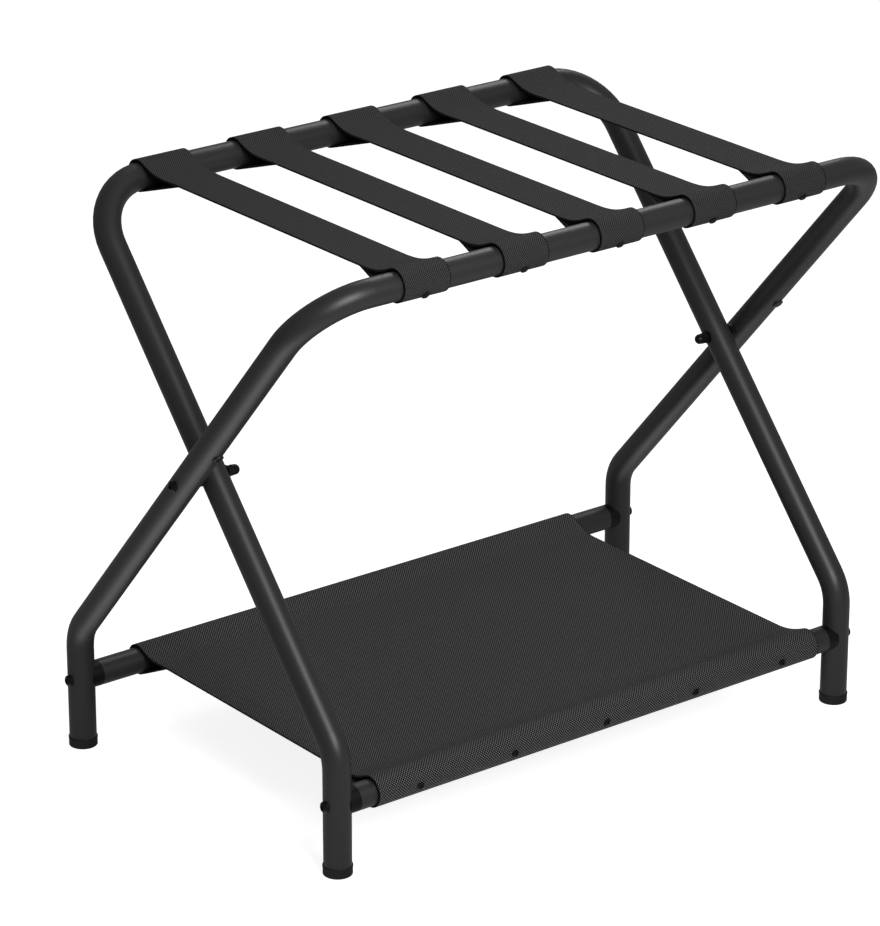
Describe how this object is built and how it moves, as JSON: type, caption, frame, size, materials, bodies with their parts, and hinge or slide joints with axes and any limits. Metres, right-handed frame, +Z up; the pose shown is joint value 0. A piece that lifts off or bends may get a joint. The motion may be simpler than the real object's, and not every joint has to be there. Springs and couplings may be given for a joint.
{
  "type": "folding luggage rack",
  "caption": "Folding luggage rack: crossed frames of bent tube on side pivots, webbing straps across the top rails and a stretched cloth shelf near the floor.",
  "frame": {"origin": "on the floor under the middle of the rack, as it stands open", "axes": "+X to the right along the rails, +Y to the rear (the inner frame's rail), +Z up"},
  "size_m": [0.6938, 0.416, 0.5612],
  "materials": {
    "frame_coating": "satin black powder coat",
    "foot_rubber": "moulded",
    "strap_webbing": "plain woven webbing",
    "shelf_cloth": "plain woven cloth",
    "black_nylon": "moulded",
    "black_fasteners": "black plated"
  },
  "bodies": {
    "outer_frame": {"outer_frame_tube": "frame_coating", "rear_lower_bar": "frame_coating", "front_strap_screws": "black_fasteners", "rear_shelf_screws": "black_fasteners", "shelf_cloth": "shelf_cloth", "strap_1": "strap_webbing", "strap_2": "strap_webbing", "strap_3": "strap_webbing", "strap_4": "strap_webbing", "strap_5": "strap_webbing", "rear_foot_cap_left": "foot_rubber", "rear_bar_plug_left": "black_nylon", "rear_bar_bolt_left": "black_fasteners", "pivot_bolt_left": "black_fasteners", "pivot_spacer_left": "black_nylon", "pivot_washer_left": "black_fasteners", "pivot_nut_left": "black_fasteners", "leg_button_left": "black_nylon", "rear_foot_cap_right": "foot_rubber", "rear_bar_plug_right": "black_nylon", "rear_bar_bolt_right": "black_fasteners", "pivot_bolt_right": "black_fasteners", "pivot_spacer_right": "black_nylon", "pivot_washer_right": "black_fasteners", "pivot_nut_right": "black_fasteners", "leg_button_right": "black_nylon"},
    "inner_frame": {"inner_frame_tube": "frame_coating", "front_lower_bar": "frame_coating", "rear_strap_screws": "black_fasteners", "front_shelf_screws": "black_fasteners", "front_foot_cap_left": "foot_rubber", "front_bar_plug_left": "black_nylon", "front_bar_bolt_left": "black_fasteners", "front_foot_cap_right": "foot_rubber", "front_bar_plug_right": "black_nylon", "front_bar_bolt_right": "black_fasteners"}
  },
  "joints": [
    {"name": "fold", "type": "hinge", "parent": "outer_frame", "child": "inner_frame", "pos_m": [0, 0, 0.32492], "axis": [1, 0, 0], "range_deg": [0, 65], "deforming": ["shelf_cloth", "strap_1", "strap_2", "strap_3", "strap_4", "strap_5"]}
  ]
}
